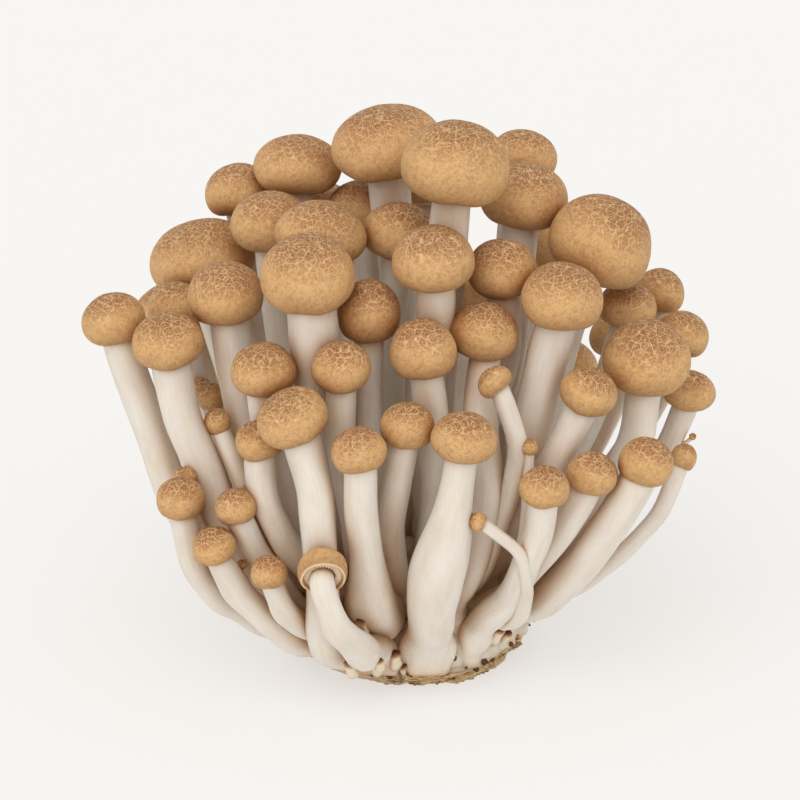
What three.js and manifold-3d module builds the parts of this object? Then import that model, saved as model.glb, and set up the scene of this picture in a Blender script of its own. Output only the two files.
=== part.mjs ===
// A cluster of brown beech mushrooms, grown together on one lump of mycelium.
// Millimetres, +Z up. Every mushroom is one solid: a stem and its cap, turned as one lathe profile
// whose axis is then bent along the stem's centreline. The stems fan out from the lump and crowd
// each other, so neighbours are pushed apart until they only touch.
import * as THREE from "three";
import { mergeVertices } from "three/addons/utils/BufferGeometryUtils.js";
import Module from "manifold-3d";

const wasm = await Module();
wasm.setup();

// --- Driving dimensions -------------------------------------------------------------------------
const GAP = 0.35; // clear space between neighbours
const BASE = {
  centre: new THREE.Vector3(3, 0, 0),
  radius: 23, // of the widest part of the lump
  height: 20, // of its rounded top
  flat: 19, // radius of the flat underside that it rests on
  belly: 4, // height of the widest part
  rise: 6, // of its +X edge, which curves up off the table
  riseFrom: 10, // where that begins, from the middle
};
const FOOT_SINK = 2.5; // how deep a foot would reach into the lump before it is cut to meet it
const WIDEST_FAN = 1.25; // the lowest caps, as an angle in radians from straight up
const LOWEST_FOOT = 1.5; // and the lowest feet on the lump
const FOOT_RISE = 0.4; // how far a foot turns upwards from square to the lump
const FOOT_PULL = 0.33; // how far a stem keeps its direction off the lump, as a share of its reach
const NECK_PULL = 0.36; // and how far below the cap it is already on the cap's axis
const JOINTS = 12; // points on a centreline
const CROWDING_ROUNDS = 300;
const CROWDING_RATE = 0.6;
const SHIFT_SHARING = 0.35; // how strongly a shift is shared along the stem
const FOOT_GIVE = 0.3; // how freely a foot gives way to its neighbours, against 1 for a mid-stem
const CAP_GIVE = 0.07; // and a cap
const FLOOR_CLEARANCE = 1.5; // under the lowest stems
const BEND_STEPS = 60;
const BASE_RINGS = 5;
const BASE_SIDES = 28;
const PIN_SIDES = 8;
const MERGE_WITHIN = 1e-4;

// --- The mushrooms ------------------------------------------------------------------------------
// cap: the middle of the cap; wide and tall: its size; stem: thickness under the cap;
// lean: how far the cap's axis tips towards +X and +Y, against 1 upwards; foot: thickness at the
// foot, as a share of the thickness under the cap; via: what the centreline passes, foot first.
const MUSHROOMS = {
  crown_mushroom_1: { cap: [-2.5, 16, 94.8], wide: 21.4, tall: 13.4, stem: 7.5, lean: [-0.15, 0] },
  crown_mushroom_2: { cap: [10.5, -5, 97], wide: 20, tall: 15.2, stem: 7.2, lean: [0.12, 0] },
  crown_mushroom_3: { cap: [23.5, 26, 89], wide: 13.5, tall: 9.5, stem: 6, lean: [0.15, 0.1] },
  crown_mushroom_4: { cap: [24, 12, 85.5], wide: 16.5, tall: 12, stem: 7, lean: [0.1, 0] },
  crown_mushroom_5: { cap: [-18, 26, 86.1], wide: 16.8, tall: 11, stem: 6.5, lean: [0.05, 0.05] },
  crown_mushroom_6: { cap: [-30.5, 31, 80.5], wide: 13.2, tall: 10, stem: 6, lean: [-0.15, 0.1] },
  crown_mushroom_7: { cap: [-24, 11, 80.8], wide: 15.3, tall: 11, stem: 6.5, lean: [-0.05, 0] },
  crown_mushroom_8: { cap: [-6.5, 22, 82], wide: 14, tall: 9.2, stem: 5.5, lean: [-0.05, 0.05] },
  crown_mushroom_9: { cap: [-13.8, -1.5, 82.6], wide: 16.8, tall: 10.8, stem: 7, lean: [0.12, 0] },
  crown_mushroom_10: { cap: [-0.5, 5.5, 81.2], wide: 14.8, tall: 10.5, stem: 6, lean: [0.2, 0] },
  crown_mushroom_11: {
    cap: [-16.5, -18, 80.5], wide: 17.4, tall: 14, stem: 8, lean: [-0.05, -0.1],
    via: [[-10, -13, 30], [-14, -18, 52]],
  },
  crown_mushroom_12: { cap: [6.5, -14, 82.5], wide: 15.2, tall: 11.4, stem: 6.5, lean: [0, -0.1] },
  crown_mushroom_13: {
    cap: [19, -6, 77], wide: 13, tall: 10.5, stem: 6, lean: [-0.05, -0.1],
    via: [[13, -9, 34], [20, -8, 60]],
  },
  left_mushroom_1: {
    cap: [-53, -5, 67], wide: 12.2, tall: 9.2, stem: 6.3, lean: [-0.2, 0],
    via: [[-28, -14, 18], [-42, -12, 35], [-48, -7, 52]],
  },
  left_mushroom_2: {
    cap: [-42.5, -14, 66], wide: 13.4, tall: 9.6, stem: 7.2, lean: [-0.1, -0.1],
    via: [[-22, -17, 15], [-35, -18, 37], [-40.5, -15, 53]],
  },
  left_mushroom_3: { cap: [-41.5, 8, 66.5], wide: 10.8, tall: 8, stem: 5.5, lean: [-0.15, 0.1] },
  left_mushroom_4: { cap: [-36, 22, 71], wide: 20.5, tall: 13, stem: 7.5, lean: [-0.2, 0.05] },
  left_mushroom_5: {
    cap: [-32, -8, 73], wide: 14.2, tall: 11.2, stem: 7, lean: [-0.1, -0.1],
    via: [[-20, -13, 20], [-28, -11, 44]],
  },
  left_mushroom_6: { cap: [-35.2, -2, 50.5], wide: 5.4, tall: 5, stem: 3.4, lean: [-0.2, 0] },
  right_mushroom_1: { cap: [37, 2, 80.5], wide: 19.8, tall: 16, stem: 8, lean: [0.45, 0] },
  right_mushroom_2: { cap: [49.7, 18, 64.7], wide: 9.6, tall: 8.5, stem: 5, lean: [0.2, 0.1] },
  right_mushroom_3: { cap: [43, 7, 65.5], wide: 11.3, tall: 8.4, stem: 5, lean: [0.15, 0] },
  right_mushroom_4: { cap: [53.5, 8, 59.5], wide: 10.2, tall: 8.4, stem: 5, lean: [0.25, 0] },
  right_mushroom_5: {
    cap: [45.7, -12, 62], wide: 16.4, tall: 13, stem: 7.2, lean: [0.1, -0.1],
    via: [[30, -16, 24], [44, -14, 44]],
  },
  right_mushroom_6: { cap: [54.5, 0, 51], wide: 10, tall: 7.2, stem: 4.8, lean: [0.15, 0] },
  right_mushroom_7: {
    cap: [53.2, -8, 40.8], wide: 5, tall: 4.6, stem: 3.4, lean: [0.5, 0.1],
    via: [[32, -15, 17], [47, -11, 27.5]],
  },
  right_mushroom_8: {
    cap: [29.5, -15, 75], wide: 15.4, tall: 11.4, stem: 7.8, lean: [0.1, -0.1],
    via: [[17, -14, 30], [24, -15, 54]],
  },
  right_mushroom_9: {
    cap: [34.5, -22, 59], wide: 10.6, tall: 8, stem: 6.4, lean: [0.3, -0.1],
    via: [[21, -19, 32], [29, -22, 46]],
  },
  right_mushroom_10: {
    cap: [44.9, -28, 47.6], wide: 10, tall: 8, stem: 6.8, lean: [0.3, -0.1],
    via: [[27, -22, 20], [37, -27, 33]],
  },
  right_mushroom_11: {
    cap: [35, -30, 46], wide: 9.2, tall: 7.4, stem: 5.4, lean: [0.2, -0.1],
    via: [[22, -22, 20], [30, -28, 35]],
  },
  right_mushroom_12: {
    cap: [26, -38, 46.5], wide: 9, tall: 7, stem: 5.4, foot: 1, lean: [0.05, -0.1],
    via: [[17, -22, 14], [22, -29, 24], [26, -36, 37]],
  },
  front_mushroom_1: {
    cap: [-5.5, -14, 71.5], wide: 11.6, tall: 11.6, stem: 5.6, lean: [0, -0.1],
    via: [[-5.5, -15, 42]],
  },
  front_mushroom_2: {
    cap: [4.2, -23, 67.5], wide: 12.2, tall: 10.8, stem: 5.8, lean: [-0.1, -0.1],
    via: [[4, -16, 20], [7, -22, 46]],
  },
  front_mushroom_3: {
    cap: [13.8, -15, 68], wide: 12.6, tall: 10.2, stem: 6, lean: [0.1, -0.1],
    via: [[10, -21, 16], [15, -27, 36], [15, -23, 48], [12, -18, 58]],
  },
  front_mushroom_4: {
    cap: [-11, -25, 65], wide: 10.8, tall: 9, stem: 5.6, lean: [0, -0.1],
    via: [[-8, -20, 26], [-11, -25, 48]],
  },
  front_mushroom_5: { cap: [-23.5, -22, 63.5], wide: 12.2, tall: 9, stem: 6, lean: [0, -0.1] },
  front_mushroom_6: {
    cap: [-19.4, -34, 58.3], wide: 13.2, tall: 9.6, stem: 6.6, foot: 0.95, lean: [-0.4, -0.1],
    via: [[-8.5, -26, 11], [-12.5, -33, 28], [-13, -35, 41]],
  },
  front_mushroom_7: {
    cap: [-24.5, -25, 52.3], wide: 8.8, tall: 6.6, stem: 5.4, lean: [-0.2, -0.1],
    via: [[-16, -22, 21], [-23.5, -27, 37]],
  },
  front_mushroom_8: {
    cap: [-7.3, -39, 54], wide: 9.8, tall: 7.6, stem: 5.8, foot: 1.4, lean: [-0.15, -0.1],
    via: [[-3, -26, 13], [-4, -33, 26], [-6.5, -37, 40]],
  },
  front_mushroom_9: {
    cap: [1.6, -32, 56], wide: 9.8, tall: 8, stem: 5.4, lean: [0.1, -0.1],
    via: [[-2, -23, 22], [-2, -29, 38]],
  },
  front_mushroom_10: {
    cap: [11.5, -37, 55.6], wide: 12, tall: 8.4, stem: 6.2, foot: 1.5, lean: [0.1, -0.05],
    via: [[2, -25, 11], [4.5, -33, 26], [9, -37, 42]],
  },
  front_mushroom_11: {
    cap: [17, -27, 62.5], wide: 6.8, tall: 4.8, stem: 3.8, lean: [-0.9, 0.3],
    via: [[15, -24, 24], [20, -28, 44], [21.5, -28, 54]],
  },
  low_mushroom_1: {
    cap: [-40, -27, 40], wide: 9, tall: 7.2, stem: 5, lean: [-0.1, -0.1],
    via: [[-26, -19, 12], [-36, -26, 23]],
  },
  low_mushroom_2: {
    cap: [-33.6, -16, 50.8], wide: 5, tall: 4.6, stem: 3.6, lean: [-0.25, -0.1],
    via: [[-22, -19, 24], [-29, -20, 41]],
  },
  low_mushroom_3: {
    cap: [-28.7, -31, 40.5], wide: 7.6, tall: 6, stem: 5, lean: [-0.25, -0.1],
    via: [[-18, -24, 16], [-26, -29, 30]],
  },
  low_mushroom_4: {
    cap: [-32.6, -34, 34], wide: 8.2, tall: 6.2, stem: 5.2, lean: [-0.2, -0.1],
    via: [[-16, -23, 10], [-25.5, -31, 19.5]],
  },
  low_mushroom_5: {
    cap: [-23.6, -38, 30], wide: 6.8, tall: 5.6, stem: 4.4, lean: [-0.1, -0.1],
    via: [[-12, -25, 10], [-18.5, -33, 17.5]],
  },
  low_mushroom_6: {
    cap: [-13.8, -41, 32.3], wide: 9, tall: 6.4, stem: 5.2, foot: 1.25, lean: [-0.1, 2.2],
    via: [[-6.5, -27, 10], [-9.5, -40, 18], [-12.5, -46.5, 25.5]],
  },
  low_mushroom_7: {
    cap: [14, -39, 40], wide: 3.6, tall: 3, stem: 2.4, foot: 1, lean: [-2.4, 0.2],
    via: [[20, -24, 15], [22.5, -34, 28], [21, -38, 36]],
  },
  back_mushroom_1: { cap: [-18, 39, 73], wide: 21, tall: 13.5, stem: 7.5, lean: [-0.15, 0.3] },
  back_mushroom_2: { cap: [5, 38, 82], wide: 22, tall: 14, stem: 8, lean: [0, 0.3] },
  back_mushroom_3: { cap: [29, 40, 68], wide: 20, tall: 13, stem: 7.5, lean: [0.15, 0.3] },
  back_mushroom_4: { cap: [-43, 29, 57], wide: 18, tall: 12, stem: 7, lean: [-0.3, 0.25] },
  back_mushroom_5: { cap: [45, 33, 50], wide: 16, tall: 11, stem: 7, lean: [0.3, 0.25] },
  back_mushroom_6: { cap: [-29, 45, 49], wide: 18, tall: 12, stem: 7, lean: [-0.15, 0.35] },
  back_mushroom_7: { cap: [-7, 50, 59], wide: 19, tall: 12.5, stem: 7, lean: [0, 0.35] },
  back_mushroom_8: { cap: [14, 53, 53], wide: 17, tall: 11.5, stem: 7, lean: [0.05, 0.4] },
  back_mushroom_9: { cap: [33, 47, 40], wide: 14, tall: 9.5, stem: 6.5, lean: [0.2, 0.35] },
  back_mushroom_10: { cap: [-9, 50, 34], wide: 12, tall: 8.5, stem: 6, lean: [-0.05, 0.35] },
};

const CAP_BELOW = 0.34; // where the neck meets the cap, below its middle, as a share of its height
const SIDES = { small: 7, large: 9 };
const SMALL_CAP = 8; // a cap narrower than this takes the smaller number of sides

// The cap's outline from its rolled rim to its crown: [share of its radius, share of its height].
const CAP_OUTLINE = [
  [0.8, 0.02],
  [0.98, 0.22],
  [0.97, 0.48],
  [0.76, 0.78],
  [0.4, 0.95],
];

// Rings up a stem, as shares of its length.
const STEM_RINGS = [0, 0.08, 0.32, 0.56, 0.78, 1];
const FOOT_UNTIL = 0.1; // where along the stem it starts to change from its foot's thickness
const CAP_FROM = 0.65; // and where it reaches the thickness under the cap
const FOOT_SHARE = 0.72; // a foot's thickness where the list gives none
const TOE_SHARE = 0.75; // the foot's very end, rounded off

// Young mushrooms that have hardly begun to grow: pins standing straight out of the lump.
// facing: compass angle in degrees, anticlockwise from +X; down: angle from straight up.
const PINS = [
  { facing: -122, down: 62, wide: 5, tall: 6 },
  { facing: -108, down: 70, wide: 4, tall: 5.5 },
  { facing: -100, down: 52, wide: 4.4, tall: 6.5 },
  { facing: -84, down: 66, wide: 4.2, tall: 5.5 },
  { facing: -66, down: 62, wide: 5, tall: 6.5 },
  { facing: -36, down: 76, wide: 4.2, tall: 5 },
  { facing: -25, down: 66, wide: 4.4, tall: 6 },
  { facing: 30, down: 68, wide: 4.6, tall: 6 },
  { facing: 78, down: 72, wide: 4.2, tall: 5 },
  { facing: 115, down: 66, wide: 5, tall: 6.5 },
  { facing: 160, down: 70, wide: 4.2, tall: 5.5 },
  { facing: -155, down: 68, wide: 4.6, tall: 6 },
];

// --- Centrelines --------------------------------------------------------------------------------
const UP = new THREE.Vector3(0, 0, 1);

// The point on the rounded top of the lump that faces a given way.
function onLump(facing, down, sink = 0) {
  const out = (BASE.radius - sink) * Math.sin(down);
  const z = BASE.belly + (BASE.height - BASE.belly - sink) * Math.cos(down);
  const place = new THREE.Vector3(out * Math.cos(facing), out * Math.sin(facing), z);
  place.z += riseAt(place.x);
  return place.add(BASE.centre);
}

// How far the lump is raised clear of the table, at a distance towards +X from its middle.
function riseAt(x) {
  const beyond = Math.max(x - BASE.riseFrom, 0) / (BASE.radius - BASE.riseFrom);
  return BASE.rise * beyond ** 2;
}

// A mushroom before crowding: its stem leaves the lump square to it and meets the cap on its axis.
function planted(name, spec) {
  const middle = new THREE.Vector3(...spec.cap);
  const axis = new THREE.Vector3(spec.lean[0], spec.lean[1], 1).normalize();
  const neck = middle.clone().addScaledVector(axis, -CAP_BELOW * spec.tall);
  const via = (spec.via ?? []).map((place) => new THREE.Vector3(...place));
  const out = (via[0] ?? middle).clone().sub(BASE.centre);
  const facing = Math.atan2(out.y, out.x);
  const fan = Math.atan2(Math.hypot(out.x, out.y), out.z - BASE.belly);
  const inner = 1 - Math.min(fan / WIDEST_FAN, 1);
  const down = Math.min(via.length ? fan : LOWEST_FOOT * (1 - inner ** 2), LOWEST_FOOT);
  const foot = onLump(facing, down, FOOT_SINK);
  const rooted = onLump(facing, down).sub(foot).normalize();
  rooted.addScaledVector(UP, FOOT_RISE).normalize();
  const reach = neck.distanceTo(foot);
  const below = neck.clone().addScaledVector(axis, -NECK_PULL * Math.min(reach, spec.tall));
  const curve = via.length
    ? new THREE.CatmullRomCurve3([foot, ...via, below, neck], false, "centripetal")
    : new THREE.CubicBezierCurve3(
        foot,
        foot.clone().addScaledVector(rooted, FOOT_PULL * reach),
        neck.clone().addScaledVector(axis, -NECK_PULL * reach),
        neck,
      );
  return { name, spec, axis, points: curve.getSpacedPoints(JOINTS - 1) };
}

// Stem radius at a share of the way up.
function stemRadius(spec, share) {
  const grown = THREE.MathUtils.smoothstep(share, FOOT_UNTIL, CAP_FROM);
  return (spec.stem / 2) * THREE.MathUtils.lerp(spec.foot ?? FOOT_SHARE, 1, grown);
}

// --- Crowding -----------------------------------------------------------------------------------
// A stem is a chain of balls and a cap is a flattened ball. Those that overlap move apart, and the
// shift is shared along the stem so that its curve stays smooth.
function ballsOf(m, index) {
  const balls = m.points.map((centre, i) => {
    const radius = stemRadius(m.spec, i / (JOINTS - 1));
    return { index, centre, lift: 0, axis: UP, across: radius, along: radius, give: 1 };
  });
  balls[0].give = FOOT_GIVE;
  balls.at(-1).give = CAP_GIVE;
  balls.push({
    index,
    centre: m.points.at(-1),
    lift: CAP_BELOW * m.spec.tall,
    axis: m.axis,
    across: m.spec.wide / 2,
    along: m.spec.tall / 2,
    give: CAP_GIVE,
  });
  return balls;
}

function reachOf(ball, direction) {
  const cosine = direction.dot(ball.axis);
  return Math.hypot(ball.across * Math.sqrt(1 - cosine ** 2), ball.along * cosine);
}

function pushApart(one, two) {
  const middle = one.centre.clone().addScaledVector(one.axis, one.lift);
  const between = middle.sub(two.centre).addScaledVector(two.axis, -two.lift);
  const apart = between.length();
  if (apart > one.across + two.across + GAP) return;
  between.divideScalar(apart);
  const short = reachOf(one, between) + reachOf(two, between) + GAP - apart;
  if (short <= 0) return;
  const share = (CROWDING_RATE * short) / (one.give + two.give);
  one.centre.addScaledVector(between, share * one.give);
  two.centre.addScaledVector(between, -share * two.give);
}

function smoothShift(points, start) {
  const shifts = points.map((p, i) => p.clone().sub(start[i]));
  for (let i = 1; i < points.length - 1; i++) {
    const mean = shifts[i - 1].clone().add(shifts[i + 1]).multiplyScalar(0.5);
    points[i].copy(start[i]).add(shifts[i].lerp(mean, SHIFT_SHARING));
  }
}

function crowd(mushrooms) {
  const start = mushrooms.map((m) => m.points.map((p) => p.clone()));
  const balls = mushrooms.flatMap(ballsOf);
  for (let round = 0; round < CROWDING_ROUNDS; round++) {
    for (let a = 0; a < balls.length; a++) {
      for (let b = a + 1; b < balls.length; b++) {
        if (balls[a].index !== balls[b].index) pushApart(balls[a], balls[b]);
      }
    }
    mushrooms.forEach((m, index) => smoothShift(m.points, start[index]));
    for (const ball of balls) {
      ball.centre.z = Math.max(ball.centre.z, ball.along + FLOOR_CLEARANCE);
    }
  }
}

// --- Turned and bent shapes ---------------------------------------------------------------------
// Turns the outline about the stem's axis, then bends that axis along the centreline.
// swell makes the same mushroom fatter all over, to cut clearance with.
function mushroomGeometry(m, swell = 0) {
  const { spec, axis } = m;
  const curve = new THREE.CatmullRomCurve3(m.points, false, "centripetal");
  const length = curve.getLength();
  const outline = [new THREE.Vector2(0, -swell)];
  for (const share of STEM_RINGS) {
    const round = share === 0 ? TOE_SHARE : 1;
    outline.push(new THREE.Vector2(stemRadius(spec, share) * round + swell, share * length));
  }
  const capFloor = length + (CAP_BELOW - 0.5) * spec.tall;
  for (const [across, up] of CAP_OUTLINE) {
    const rim = (spec.wide / 2) * across + swell;
    outline.push(new THREE.Vector2(rim, capFloor + up * spec.tall + (up - 0.5) * swell));
  }
  outline.push(new THREE.Vector2(0, capFloor + spec.tall + swell));
  const sides = spec.wide < SMALL_CAP ? SIDES.small : SIDES.large;
  return bend(new THREE.LatheGeometry(outline, sides), curve, length, axis);
}

function bend(geometry, curve, length, endAxis) {
  const position = geometry.getAttribute("position");
  const frames = curve.computeFrenetFrames(BEND_STEPS, false);
  const v = new THREE.Vector3();
  for (let k = 0; k < position.count; k++) {
    v.fromBufferAttribute(position, k); // the lathe turns about Y
    const share = THREE.MathUtils.clamp(v.y / length, 0, 1);
    const step = Math.round(share * BEND_STEPS);
    const along = share < 1 ? frames.tangents[step] : endAxis;
    const side = frames.normals[step].clone();
    side.addScaledVector(along, -side.dot(along)).normalize();
    const across = new THREE.Vector3().crossVectors(side, along);
    const place = curve.getPointAt(share).addScaledVector(along, v.y - share * length);
    place.addScaledVector(side, v.x).addScaledVector(across, v.z);
    position.setXYZ(k, place.x, place.y, place.z);
  }
  return geometry;
}

// The lump that the mushrooms grow from: a flat underside that curves up at +X, a bulging side and
// a rounded top.
function lumpGeometry(swell = 0) {
  const outline = [0, BASE.riseFrom, BASE.flat + swell].map((out) => new THREE.Vector2(out, 0));
  for (let i = 0; i <= BASE_RINGS; i++) {
    const down = ((BASE_RINGS - i) / BASE_RINGS) * (Math.PI / 2);
    const out = (BASE.radius + swell) * Math.sin(down);
    const z = BASE.belly + (BASE.height - BASE.belly + swell) * Math.cos(down);
    outline.push(new THREE.Vector2(i === BASE_RINGS ? 0 : out, z));
  }
  const lump = new THREE.LatheGeometry(outline, BASE_SIDES).rotateX(Math.PI / 2);
  const position = lump.getAttribute("position");
  for (let k = 0; k < position.count; k++) {
    position.setZ(k, position.getZ(k) + riseAt(position.getX(k)));
  }
  return lump.translate(...BASE.centre.toArray());
}

// A pin: a bud on a short stalk, half sunk in the lump.
function pinGeometry({ facing, down, wide, tall }, swell = 0) {
  const bud = [
    new THREE.Vector2(0, -tall / 2),
    new THREE.Vector2(0.32 * wide + swell, -tall / 2),
    new THREE.Vector2(0.36 * wide + swell, 0.45 * tall),
    new THREE.Vector2(0.5 * wide + swell, 0.65 * tall),
    new THREE.Vector2(0.34 * wide + swell, 0.92 * tall),
    new THREE.Vector2(0, tall + swell),
  ];
  const place = onLump(THREE.MathUtils.degToRad(facing), THREE.MathUtils.degToRad(down));
  const outward = place.clone().sub(BASE.centre).normalize();
  const turn = new THREE.Quaternion().setFromUnitVectors(new THREE.Vector3(0, 1, 0), outward);
  const pin = new THREE.LatheGeometry(bud, PIN_SIDES);
  return pin.applyQuaternion(turn).translate(...place.toArray());
}

// --- Joining and cutting ------------------------------------------------------------------------
function toSolid(geometry) {
  geometry.deleteAttribute("normal");
  geometry.deleteAttribute("uv");
  const merged = mergeVertices(geometry, MERGE_WITHIN);
  return new wasm.Manifold(
    new wasm.Mesh({
      numProp: 3,
      vertProperties: merged.getAttribute("position").array,
      triVerts: new Uint32Array(merged.getIndex().array),
    }),
  );
}

function toGeometry(solid) {
  const mesh = solid.getMesh();
  const geometry = new THREE.BufferGeometry();
  geometry.setAttribute("position", new THREE.BufferAttribute(mesh.vertProperties, 3));
  geometry.setIndex(new THREE.BufferAttribute(mesh.triVerts, 1));
  geometry.computeVertexNormals();
  return geometry;
}

// The lump with all its pins grown out of it.
function makeLump(swell = 0) {
  let lump = toSolid(lumpGeometry(swell));
  for (const pin of PINS) {
    lump = lump.add(toSolid(pinGeometry(pin, swell)));
  }
  return lump;
}

// A mushroom with room cut for the lump and for each neighbour that is already in place.
function makeMushroom(m, lumpRoom, placed) {
  const geometry = mushroomGeometry(m);
  geometry.computeBoundingBox();
  const box = geometry.boundingBox.clone();
  let solid = toSolid(geometry).subtract(lumpRoom);
  for (const neighbour of placed) {
    if (box.intersectsBox(neighbour.box)) solid = solid.subtract(neighbour.room);
  }
  placed.push({ box: box.expandByScalar(GAP), room: toSolid(mushroomGeometry(m, GAP)) });
  return solid;
}

// --- Colours ------------------------------------------------------------------------------------
function flesh(spec) {
  const tan = new THREE.Color(0xc79a6c);
  const pale = new THREE.Color(0xdcb68a);
  const age = THREE.MathUtils.smoothstep(spec.wide, 8, 20); // large caps are older and browner
  return new THREE.MeshStandardMaterial({
    color: pale.lerp(tan, age),
    roughness: 0.55,
    metalness: 0,
  });
}

function addNode(group, name, solid, material) {
  const mesh = new THREE.Mesh(toGeometry(solid), material);
  mesh.name = name;
  group.add(mesh);
}

// --- Assembly -----------------------------------------------------------------------------------
const mushrooms = Object.entries(MUSHROOMS).map(([name, spec]) => planted(name, spec));
crowd(mushrooms);

const cluster = new THREE.Group();
const mycelium = new THREE.MeshStandardMaterial({ color: 0xd9c3a0, roughness: 0.8, metalness: 0 });
addNode(cluster, "base", makeLump(), mycelium);
const lumpRoom = makeLump(GAP);
const placed = [];
mushrooms.sort((a, b) => a.spec.stem - b.spec.stem); // a thick stem is cut to clear a thin one
for (const m of mushrooms) {
  addNode(cluster, m.name, makeMushroom(m, lumpRoom, placed), flesh(m.spec));
}

// The origin is the middle of the cluster's box, on the surface that it rests on.
const box = new THREE.Box3().setFromObject(cluster);
cluster.position.set(-(box.min.x + box.max.x) / 2, -(box.min.y + box.max.y) / 2, -box.min.z);

export default cluster;
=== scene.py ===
import math
import random

import bpy
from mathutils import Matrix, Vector, noise
from mathutils.bvhtree import BVHTree


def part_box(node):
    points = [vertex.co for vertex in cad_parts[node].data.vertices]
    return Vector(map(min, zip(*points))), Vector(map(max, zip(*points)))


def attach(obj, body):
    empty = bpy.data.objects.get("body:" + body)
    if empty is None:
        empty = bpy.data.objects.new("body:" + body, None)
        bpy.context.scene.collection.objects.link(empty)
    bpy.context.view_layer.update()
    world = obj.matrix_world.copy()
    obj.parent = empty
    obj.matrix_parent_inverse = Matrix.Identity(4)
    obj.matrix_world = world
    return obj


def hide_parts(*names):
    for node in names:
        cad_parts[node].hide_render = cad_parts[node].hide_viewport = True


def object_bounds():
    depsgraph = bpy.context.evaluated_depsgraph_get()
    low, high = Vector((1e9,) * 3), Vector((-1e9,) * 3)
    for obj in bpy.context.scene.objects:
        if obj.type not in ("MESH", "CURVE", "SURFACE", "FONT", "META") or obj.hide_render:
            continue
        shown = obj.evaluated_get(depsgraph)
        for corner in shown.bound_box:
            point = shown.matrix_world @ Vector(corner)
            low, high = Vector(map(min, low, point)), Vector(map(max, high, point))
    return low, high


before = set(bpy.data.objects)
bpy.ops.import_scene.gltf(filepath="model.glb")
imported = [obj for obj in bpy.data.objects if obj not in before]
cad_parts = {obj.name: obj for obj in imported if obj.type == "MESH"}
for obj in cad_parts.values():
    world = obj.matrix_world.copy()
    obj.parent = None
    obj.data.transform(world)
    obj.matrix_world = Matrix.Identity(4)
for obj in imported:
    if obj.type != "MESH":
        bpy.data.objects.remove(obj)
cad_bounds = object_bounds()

MM = 0.001
UP = Vector((0, 0, 1))
RNG = random.Random(7)

# --- Small helpers ------------------------------------------------------------------------------


def mix(a, b, t):
    return a + (b - a) * t


def frame_of(axis):
    """Two unit vectors square to the axis and to each other."""
    hint = Vector((1, 0, 0))
    side = (hint - axis * hint.dot(axis)).normalized()
    return side, axis.cross(side)


def way_to(turn, tilt):
    """The unit vector that faces a way round the vertical and leans a tilt above the horizontal."""
    flat = math.cos(tilt)
    return Vector((math.cos(turn) * flat, math.sin(turn) * flat, math.sin(tilt)))


class Skin:
    """A mesh being built, with a value for each point: grown (mm) and ripe (0 to 1)."""

    def __init__(self):
        self.points = []
        self.faces = []
        self.grown = []
        self.ripe = []

    def add(self, point, grown, ripe=0.0):
        self.points.append(point)
        self.grown.append(grown)
        self.ripe.append(ripe)
        return len(self.points) - 1

    def bridge(self, ring, after):
        count = len(ring)
        for k in range(count):
            n = (k + 1) % count
            self.faces.append((ring[k], ring[n], after[n], after[k]))

    def fan(self, tip, ring, outward=True):
        count = len(ring)
        for k in range(count):
            n = (k + 1) % count
            face = (tip, ring[k], ring[n]) if outward else (tip, ring[n], ring[k])
            self.faces.append(face)

    def piece(self, name, material, slot, nodes, smooth=True):
        mesh = bpy.data.meshes.new(name)
        mesh.from_pydata(self.points, [], self.faces)
        mesh.polygons.foreach_set("use_smooth", [smooth] * len(mesh.polygons))
        grown = mesh.attributes.new("grown", "FLOAT_VECTOR", "POINT")
        grown.data.foreach_set("vector", [c for v in self.grown for c in v])
        ripe = mesh.attributes.new("ripe", "FLOAT", "POINT")
        ripe.data.foreach_set("value", self.ripe)
        mesh.materials.append(material)
        mesh.validate()
        piece = bpy.data.objects.new(name, mesh)
        bpy.context.scene.collection.objects.link(piece)
        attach(piece, "root")
        if nodes:
            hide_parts(*nodes)


# --- Materials ----------------------------------------------------------------------------------


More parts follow.
